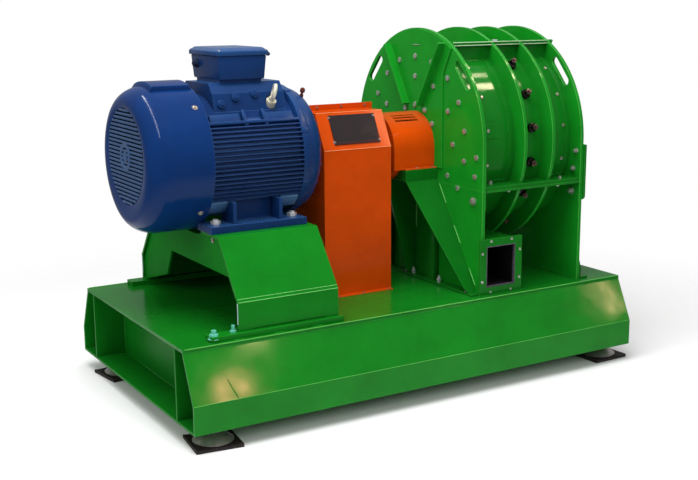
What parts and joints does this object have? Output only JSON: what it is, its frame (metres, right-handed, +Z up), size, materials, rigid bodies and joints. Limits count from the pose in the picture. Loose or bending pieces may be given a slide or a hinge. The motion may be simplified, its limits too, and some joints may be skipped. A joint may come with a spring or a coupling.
{
  "type": "turbo mill",
  "caption": "Drum mill with projecting discs on a welded base, driven through a guarded coupling by a foot-mounted motor, with a flanged side outlet.",
  "frame": {"origin": "on the floor under the middle of the base, at the underside of the rubber pads", "axes": "+X along the shaft from the motor to the mill, -Y towards the side with the outlet, +Z up"},
  "size_m": [2.5287, 1.4602, 1.75],
  "materials": {
    "green_deck": "glossy green enamel on plate",
    "rubber": "ribbed black rubber",
    "plated_steel": "zinc-plated steel",
    "green_stand": "glossy green enamel on folded plate",
    "motor_blue": "blue machinery paint on cast iron",
    "cowl_blue": "blue machinery paint on pressed sheet",
    "guard_orange": "orange enamel on folded sheet",
    "clear_pane": "clear polycarbonate pane",
    "bright_steel": "turned steel",
    "bearing_iron": "green paint on cast iron",
    "green_casing": "glossy green enamel on flame-cut plate"
  },
  "bodies": {
    "root": {"base_deck": "green_deck", "base_bottom": "green_deck", "base_side_front": "green_deck", "base_side_back": "green_deck", "base_webs": "green_deck", "base_cross_plates": "green_deck", "foot_pads": "rubber", "foot_mounts": "plated_steel", "motor_rails": "green_stand", "stand_sides": "green_stand", "stand_ends": "green_stand", "motor_frame": "motor_blue", "motor_feet": "motor_blue", "motor_saddle": "motor_blue", "fan_cowl": "cowl_blue", "drive_end_shield": "motor_blue", "terminal_box": "motor_blue", "terminal_box_lid": "motor_blue", "motor_eyebolt": "plated_steel", "guard_front": "guard_orange", "guard_back": "guard_orange", "guard_windows": "clear_pane", "shaft_ends": "bright_steel", "shaft_coupling": "bright_steel", "bearings": "bearing_iron", "bearing_hood_drive": "guard_orange", "bearing_hood_rear": "guard_orange", "platforms": "green_casing", "gussets": "green_casing", "foot_bars": "green_casing", "wall_drive_lower": "green_casing", "wall_drive_upper": "green_casing", "wall_rear_lower": "green_casing", "wall_rear_upper": "green_casing", "cover_drive": "green_casing", "cover_rear": "green_casing", "disc_middle_drive": "green_casing", "disc_middle_rear": "green_casing", "drum_drive": "green_casing", "drum_middle": "green_casing", "drum_rear": "green_casing", "top_boxes": "green_casing", "split_flanges": "green_casing", "splice_plates": "green_casing", "outlet_duct": "green_casing"}
  },
  "joints": []
}
